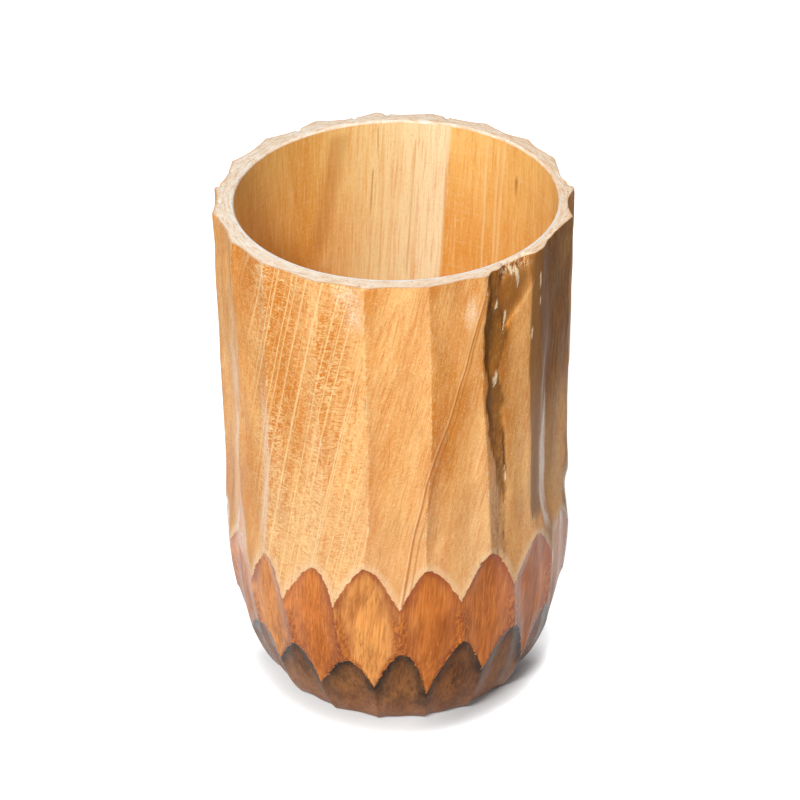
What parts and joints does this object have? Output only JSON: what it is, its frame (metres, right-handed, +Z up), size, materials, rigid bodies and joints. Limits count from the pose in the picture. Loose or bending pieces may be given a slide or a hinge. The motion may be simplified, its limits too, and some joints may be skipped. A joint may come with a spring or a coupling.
{
  "type": "fluted wooden cup",
  "caption": "Tall round wooden pot with long gouged flutes down the wall and two staggered tiers of carved scales above the foot, open at the top.",
  "frame": {"origin": "centre of the foot, on the plane that the cup stands on", "axes": "+Z up along the bore's axis to the mouth, -Y towards the front that the picture shows, +X to its right"},
  "size_m": [0.0964, 0.0966, 0.148],
  "materials": {
    "carved_wood": "satin lacquer over hand-carved wood, stained brown toward the foot",
    "plug_wood": "oiled wood, turned flat"
  },
  "bodies": {
    "root": {"carved_body": "carved_wood", "base_plug": "plug_wood"}
  },
  "joints": []
}
